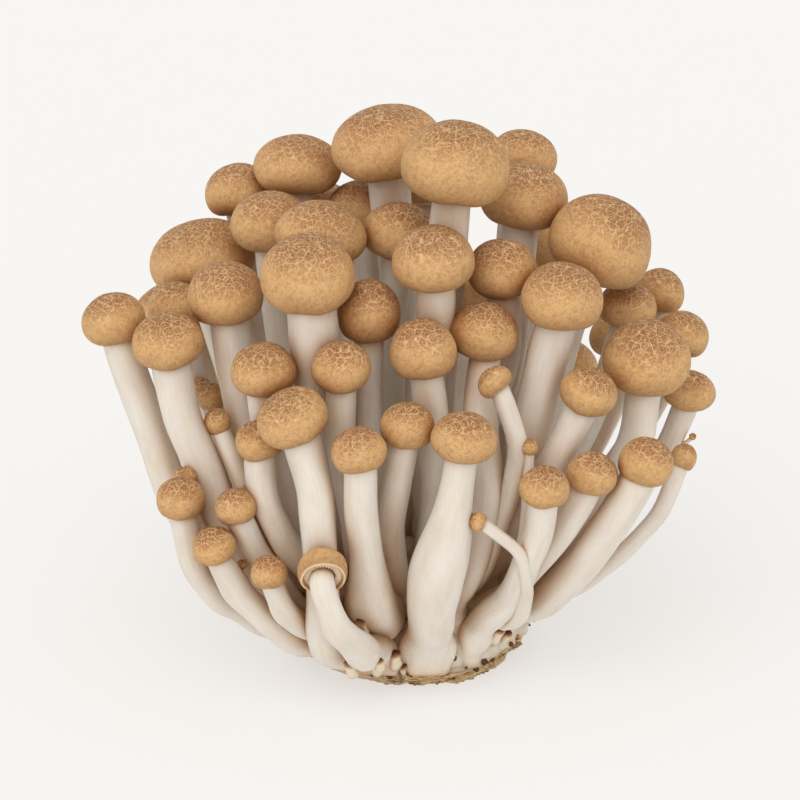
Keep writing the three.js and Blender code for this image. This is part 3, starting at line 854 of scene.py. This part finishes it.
# --- Shoots: small young caps that grow off another mushroom's stem -------------------------------
SHOOT_POINTS = 9
SHOOTS = {
    # neighbour, how far up its stem it starts, its cap from the neighbour's (mm), wide, tall, stem
    "shoot_1": ("low_mushroom_1", 0.45, (0.6, 4.4, 4.2), 4.2, 3.4, 2.4),
    "shoot_2": ("low_mushroom_3", 0.4, (1.9, 3.6, 2.6), 3.6, 3.0, 2.2),
    "shoot_3": ("left_mushroom_6", 0.5, (-2.2, 3.0, 1.4), 4.0, 3.6, 2.4),
    "shoot_4": ("right_mushroom_12", 0.45, (-2.3, 9.0, 6.0), 3.2, 2.8, 2.0),
    "shoot_5": ("low_mushroom_4", 0.5, (4.4, 4.5, -3.6), 1.9, 1.7, 1.1),
    "shoot_6": ("low_mushroom_4", 0.42, (3.9, 4.5, -6.2), 1.7, 1.5, 1.0),
    "shoot_7": ("right_mushroom_6", 0.84, (0.9, -1.6, -5.6), 1.4, 1.2, 0.8),
}


def build_shoot(name, spec, mushrooms, seed):
    neighbour, start, away, wide, tall, stem = spec
    near = mushrooms[neighbour]
    foot = near["line"][int(start * len(near["line"]))]
    rim = near["rim"] + Vector(away) * MM
    axis = ((rim - foot).normalized() + UP).normalized()
    line = arc(foot, rim - axis * (rim - foot).length * 0.4, rim, SHOOT_POINTS)
    build_mushroom(name, {
        "line": line,
        "radii": [stem * MM / 2] * len(line),
        "axis": axis,
        "rim": rim,
        "wide": wide * MM,
        "tall": tall * MM,
        "stem": stem * MM / 2,
        "foot": [],
        "nodes": [],
    }, seed)


# --- The lump -----------------------------------------------------------------------------------
LUMP_AROUND = 160
LUMP_RINGS = 30
LUMP_ROUGH = 0.7 * MM
UNDERSIDE = -0.5  # the tilt below which the lump is smoother
CRUST_AROUND = 320
CRUST_LAYERS = 9
CRUST_TALL = 3.6 * MM
CRUST_THICK = 2.3 * MM
CRUST_SUNK = 0.8 * MM  # how deep its back lies in the lump
CRUST_BELOW = 0.9 * MM  # how far it hangs below the lump's edge
SMOOTH_LIP = math.radians(-125)  # the way the crust's smooth, pale part faces
SMOOTH_SPAN = 0.3
CRUMBS = 230


def build_lump(lump):
    skin = Skin()
    rings = []
    for i in range(1, LUMP_RINGS):
        tilt = math.pi / 2 - math.pi * i / LUMP_RINGS
        ring = []
        for k in range(LUMP_AROUND):
            turn = k / LUMP_AROUND * math.tau
            way = way_to(turn, tilt)
            rough = LUMP_ROUGH if tilt > UNDERSIDE else LUMP_ROUGH * 0.15
            rough *= noise.fractal(way * 3.2, 1.0, 2.0, 5)
            point = lump.felt(turn, tilt) + way * (rough - 0.3 * MM)
            point.z = max(point.z, 0.0)
            up = (tilt + math.pi / 2) / math.pi
            ring.append(skin.add(point, (point - lump.heart) / MM, up))
        rings.append(ring)
    for ring, after in zip(rings, rings[1:]):
        skin.bridge(after, ring)
    for tilt, ring, outward in ((math.pi / 2, rings[0], True), (-math.pi / 2, rings[-1], False)):
        point = lump.point(0, tilt)
        skin.fan(skin.add(point, (point - lump.heart) / MM), ring, outward)
    skin.piece("base_lump", MYCELIUM, "mycelium", ["base"])


def build_crust(lump):
    """A thin, layered, ragged skin of substrate round the foot of the lump."""
    skin = Skin()
    rings = [[] for _ in range(2 * CRUST_LAYERS)]
    for k in range(CRUST_AROUND):
        turn = k / CRUST_AROUND * math.tau
        edge = lump.edge(turn)
        foot = lump.point(turn, edge)
        way = Vector((math.cos(turn), math.sin(turn), 0))
        at = way * 2.4
        ragged = 1 + 0.6 * noise.fractal(at * 2.0, 1.0, 2.0, 4) + 0.25 * noise.noise(at * 16)
        tall = CRUST_TALL * max(ragged, 0.25)
        off = (turn - SMOOTH_LIP + math.pi) % math.tau - math.pi
        smooth = math.exp(-((off / SMOOTH_SPAN) ** 2))
        for layer in range(CRUST_LAYERS):
            up = layer / (CRUST_LAYERS - 1)
            height = max(foot.z - CRUST_BELOW, 0) + tall * up
            tilt = math.atan2(height - lump.heart.z, (foot - lump.heart).xy.length)
            inner = lump.point(turn, tilt, -CRUST_SUNK)
            shelf = noise.noise(Vector((at.x * 3, at.y * 3, layer * 1.9)))
            fray = noise.noise(Vector((at.x * 14, at.y * 14, layer * 3.7)))
            rough = 0.9 + (0.7 * shelf + 0.45 * fray) * (1 - smooth)
            thick = CRUST_THICK * (1 - 0.85 * up) * max(rough, 0.15)
            outer = lump.point(turn, tilt, thick)
            for ring, point in ((rings[layer], outer), (rings[-1 - layer], inner)):
                point = point + UP * (0.25 * MM * fray if 0 < up < 1 else 0)
                point.z = max(point.z, 0.0)
                ring.append(skin.add(point, (point - lump.heart) / MM, 0.8 * smooth))
    for ring, after in zip(rings, rings[1:] + rings[:1]):
        skin.bridge(ring, after)
    skin.piece("base_crust", SUBSTRATE, "substrate", [])


def add_crumb(skin, middle, size):
    """A ragged lump: a small turned ball with every point pushed in or out."""
    seed = Vector((RNG.random(), RNG.random(), RNG.random())) * 50
    rings = []
    for i in range(1, 5):
        tilt = math.pi / 2 - math.pi * i / 5
        ring = []
        for k in range(8):
            turn = k / 8 * math.tau
            way = way_to(turn, tilt)
            out = size * (1 + 0.5 * noise.noise(way * 1.6 + seed))
            ring.append(skin.add(middle + way * out, way * out / MM + seed))
        rings.append(ring)
    for ring, after in zip(rings, rings[1:]):
        skin.bridge(after, ring)
    skin.fan(skin.add(middle + UP * size, seed), rings[0])
    skin.fan(skin.add(middle - UP * size, seed), rings[-1], outward=False)


# Pins, which have hardly begun to grow, on the lump or on its lowest feet. Each: the way it faces
# and how high on the lump, in degrees; how far it stands out and its width, in mm.
PINS = (
    (-108, 18, 1.2, 2.2),
    (-106, 14, 1.0, 2.0),
    (-104, 5, 0.9, 1.8),
    (-100, 3, 0.8, 1.6),
    (-108, 2, 1.1, 2.0),
    (-106, -8, 0.8, 1.5),
    (-103, -3, 0.9, 1.7),
    (-97, -2, 1.1, 2.2),
    (-94, -9, 0.8, 1.5),
    (-53, 4, 1.3, 2.0),
    (-46, 0, 1.2, 1.8),
    (-20, 4, 1.3, 2.1),
    (35, 6, 1.2, 2.4),
    (80, 2, 1.2, 2.1),
    (118, 8, 1.2, 2.4),
    (165, 4, 1.1, 2.2),
    (-137, 3, 1.1, 2.2),
)
PIN_OUTLINE = (
    # how far along it, its radius as a share of half the width, and how ripe: a sheath, then a bud
    (0.0, 1.15, 0.1), (0.2, 1.05, 0.15), (0.45, 0.9, 0.2), (0.6, 0.95, 0.25), (0.68, 1.1, 0.35),
    (0.78, 1.08, 0.48), (0.87, 0.9, 0.66), (0.94, 0.6, 0.85), (0.98, 0.3, 1.0),
)
PIN_OVER = 16 * MM  # a pin stands on the foot that covers the felt, if one does by less than this


def outermost(lump, turn, tilt):
    """The distance from the lump's heart to the outermost foot or felt in a direction."""
    felt = lump.felt(turn, tilt) - lump.heart
    way = felt.normalized()
    hit = FEET.ray_cast(lump.heart + felt + way * PIN_OVER, -way, PIN_OVER)
    return felt.length + (PIN_OVER - hit[3] if hit[3] is not None else 0)


def build_pin(name, lump, facing, height, out, wide, seed):
    turn = math.radians(facing)
    tilt = math.radians(height)
    way = (lump.felt(turn, tilt) - lump.heart).normalized()
    ground = lump.heart + way * outermost(lump, turn, tilt)
    tip = ground + way * out * MM + UP * 0.9 * wide * MM
    foot = ground - way * 1.2 * MM - UP * 0.9 * wide * MM
    outwards = (tip - lump.heart).normalized() * 0.5 * wide * MM
    line = arc(foot, foot.lerp(tip, 0.5) + outwards, tip, 12)
    skin = Skin()
    rings = []
    for along, share, ripe in PIN_OUTLINE:
        at = min(int(along * (len(line) - 1)), len(line) - 2)
        middle = line[at].lerp(line[at + 1], along * (len(line) - 1) - at)
        axis = (line[at + 1] - line[at]).normalized()
        side, across = frame_of(axis)
        ring = []
        for k in range(16):
            angle = k / 16 * math.tau
            way = side * math.cos(angle) + across * math.sin(angle)
            uneven = 1 + 0.22 * noise.noise(way * 1.2 + Vector((seed, along, 0)))
            point = middle + way * (wide * MM / 2 * share * uneven)
            point.z = max(point.z, 0.1 * MM)
            ring.append(skin.add(point, (point - lump.heart) / MM, ripe))
        rings.append(ring)
    for ring, after in zip(rings, rings[1:]):
        skin.bridge(ring, after)
    skin.fan(skin.add(foot, (foot - lump.heart) / MM, 0.0), rings[0], outward=False)
    skin.fan(skin.add(tip, (tip - lump.heart) / MM, 1.0), rings[-1])
    skin.piece(name, PIN_FLESH, "mushroom_flesh", [])


def build_crumbs(lump):
    """Crumbs of substrate on the crust and between the lowest feet, thickest in front."""
    skins = {"dark": Skin(), "light": Skin()}
    for _ in range(CRUMBS):
        turn = RNG.gauss(-1.65, 0.55) if RNG.random() < 0.65 else RNG.uniform(0, math.tau)
        tilt = mix(lump.edge(turn), 0.35, RNG.random() ** 1.6)
        size = 0.25 * MM + 0.5 * MM * RNG.random() ** 2.5
        middle = lump.felt(turn, tilt)
        middle.z = max(middle.z, size * 1.4)
        add_crumb(skins["dark" if RNG.random() < 0.6 else "light"], middle, size)
    skins["dark"].piece("base_crumbs_dark", CRUMB_DARK, "substrate", [])
    skins["light"].piece("base_crumbs_light", SUBSTRATE, "substrate", [])


# --- The cluster ----------------------------------------------------------------------------------
MUSHROOMS = {node: traced(node) for node in sorted(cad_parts) if node != "base"}
for number, (node, m) in enumerate(MUSHROOMS.items()):
    build_mushroom(node, m, 1.37 * number + 0.61)
for number, (name, spec) in enumerate(SHOOTS.items()):
    build_shoot(name, spec, MUSHROOMS, 2.19 * number + 90)
build_lump(LUMP)
build_crust(LUMP)
build_crumbs(LUMP)
FEET = BVHTree.FromPolygons(*stem_walls)  # what a pin can stand on, besides the felt
for number, (facing, height, out, wide) in enumerate(PINS):
    build_pin(f"pin_{number + 1}", LUMP, facing, height, out, wide, 3.3 * number)

# --- Floor, light and camera --------------------------------------------------------------------
FLOOR_SIZE = 6.0
WARM_WHITE = (0.945, 0.933, 0.917)
FLOOR_GLOW = 0.6  # how much of its light is its own, as from a sweep that is lit from behind


def build_floor():
    half = FLOOR_SIZE / 2
    mesh = bpy.data.meshes.new("floor")
    corners = [(-half, -half, 0), (half, -half, 0), (half, half, 0), (-half, half, 0)]
    mesh.from_pydata(corners, [], [(0, 1, 2, 3)])
    s = Shader("floor_paper", roughness=0.9, specular=0.0)
    grain = s.node("ShaderNodeTexCoord")
    tone = s.noise(grain.outputs["Object"], 40.0, 2.0)
    s.surface.inputs["Emission Color"].default_value = (*WARM_WHITE, 1.0)
    s.surface.inputs["Emission Strength"].default_value = FLOOR_GLOW
    paper = tuple(c * (1 - FLOOR_GLOW) for c in WARM_WHITE)
    mesh.materials.append(s.finish(s.blend(tone, paper, tuple(c * 0.99 for c in paper))))
    floor = bpy.data.objects.new("floor", mesh)
    bpy.context.scene.collection.objects.link(floor)


def build_light():
    world = bpy.data.worlds.new("studio")
    bpy.context.scene.world = world
    world.use_nodes = True
    sky = world.node_tree.nodes["Background"]
    sky.inputs["Color"].default_value = (1.0, 0.985, 0.965, 1.0)
    sky.inputs["Strength"].default_value = 0.70
    for name, strength, spread, turn in (
        ("key", 1.1, 60, (42, -18, 0)),
        ("fill", 0.3, 90, (60, 40, 0)),
    ):
        sun = bpy.data.lights.new(name, "SUN")
        sun.energy = strength
        sun.angle = math.radians(spread)
        sun.color = (1.0, 0.98, 0.95)
        lamp = bpy.data.objects.new(name, sun)
        lamp.rotation_euler = [math.radians(a) for a in turn]
        bpy.context.scene.collection.objects.link(lamp)


CAMERA_UP = 20  # degrees above the horizon
CAMERA_AWAY = 0.75  # from the middle of the cluster
FILLS = 0.779  # share of the picture's width that the cluster takes up
AIM_BELOW = 5.1 * MM  # how far below the middle of the cluster the camera looks


def build_camera():
    low, high = (Vector(c) for c in cad_bounds)
    middle = (low + high) / 2
    camera = bpy.data.cameras.new("camera")
    camera.sensor_width = 36
    camera.lens = 36 * CAMERA_AWAY * FILLS / (high.x - low.x)
    eye = bpy.data.objects.new("camera", camera)
    tilt = math.radians(CAMERA_UP)
    eye.location = middle + Vector((0, -math.cos(tilt), math.sin(tilt))) * CAMERA_AWAY
    eye.location -= Vector((0, math.sin(tilt), math.cos(tilt))) * AIM_BELOW
    eye.rotation_euler = (math.pi / 2 - tilt, 0, 0)
    bpy.context.scene.collection.objects.link(eye)
    bpy.context.scene.camera = eye


build_floor()
build_light()
build_camera()
bpy.context.scene.view_settings.view_transform = "Standard"
